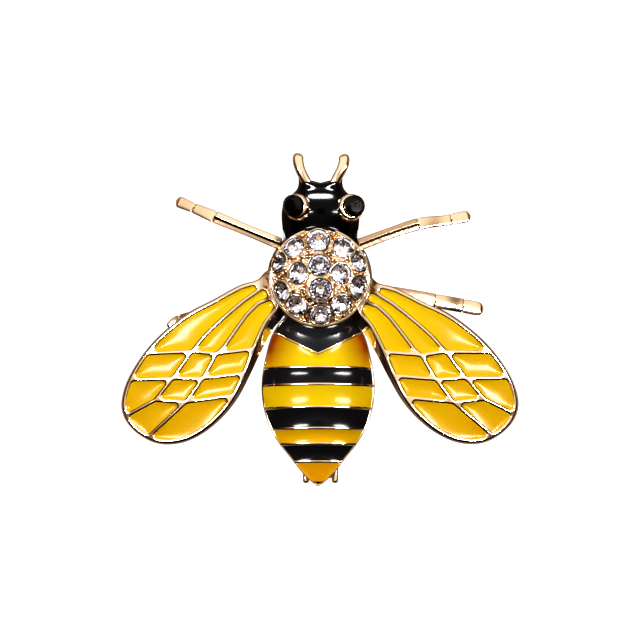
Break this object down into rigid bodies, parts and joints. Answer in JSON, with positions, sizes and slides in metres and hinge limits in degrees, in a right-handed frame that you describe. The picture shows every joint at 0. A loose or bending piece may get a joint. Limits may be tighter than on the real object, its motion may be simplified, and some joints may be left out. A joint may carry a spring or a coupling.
{
  "type": "insect brooch",
  "caption": "Bee brooch with enamelled wings and striped abdomen in gold plated metal, a stone-set thorax and a pin fitting on the back.",
  "frame": {"origin": "middle of the brooch's footprint on the table that it lies on", "axes": "+Z out of the face, +Y towards the antennae, +X towards the wing on the right of someone who looks at the face"},
  "size_m": [0.0461, 0.0384, 0.0094],
  "materials": {
    "gold_plate": "polished pale gold plating",
    "yellow_enamel": "glossy epoxy enamel",
    "black_enamel": "glossy epoxy enamel",
    "clear_stone": "faceted, foil backed",
    "black_stone": "faceted, jet black"
  },
  "bodies": {
    "root": {"casting": "gold_plate", "pin_back": "gold_plate", "head_enamel": "black_enamel", "eye_left": "black_stone", "eye_right": "black_stone", "band_black_collar": "black_enamel", "band_yellow_1": "yellow_enamel", "band_black_1": "black_enamel", "band_yellow_2": "yellow_enamel", "band_black_2": "black_enamel", "band_yellow_3": "yellow_enamel", "band_black_3": "black_enamel", "band_yellow_tail": "yellow_enamel", "cell_left_a1": "yellow_enamel", "cell_left_a2": "yellow_enamel", "cell_left_a3": "yellow_enamel", "cell_left_b1": "yellow_enamel", "cell_left_b2": "yellow_enamel", "cell_left_b3": "yellow_enamel", "cell_left_c1": "yellow_enamel", "cell_left_c2": "yellow_enamel", "cell_left_c3": "yellow_enamel", "cell_left_d1": "yellow_enamel", "cell_left_d2": "yellow_enamel", "cell_right_a1": "yellow_enamel", "cell_right_a2": "yellow_enamel", "cell_right_a3": "yellow_enamel", "cell_right_b1": "yellow_enamel", "cell_right_b2": "yellow_enamel", "cell_right_b3": "yellow_enamel", "cell_right_c1": "yellow_enamel", "cell_right_c2": "yellow_enamel", "cell_right_c3": "yellow_enamel", "cell_right_d1": "yellow_enamel", "cell_right_d2": "yellow_enamel", "stone_1": "clear_stone", "stone_2": "clear_stone", "stone_3": "clear_stone", "stone_4": "clear_stone", "stone_5": "clear_stone", "stone_6": "clear_stone", "stone_7": "clear_stone", "stone_8": "clear_stone", "stone_9": "clear_stone", "stone_10": "clear_stone", "stone_11": "clear_stone", "stone_12": "clear_stone", "stone_13": "clear_stone", "stone_14": "clear_stone"}
  },
  "joints": []
}
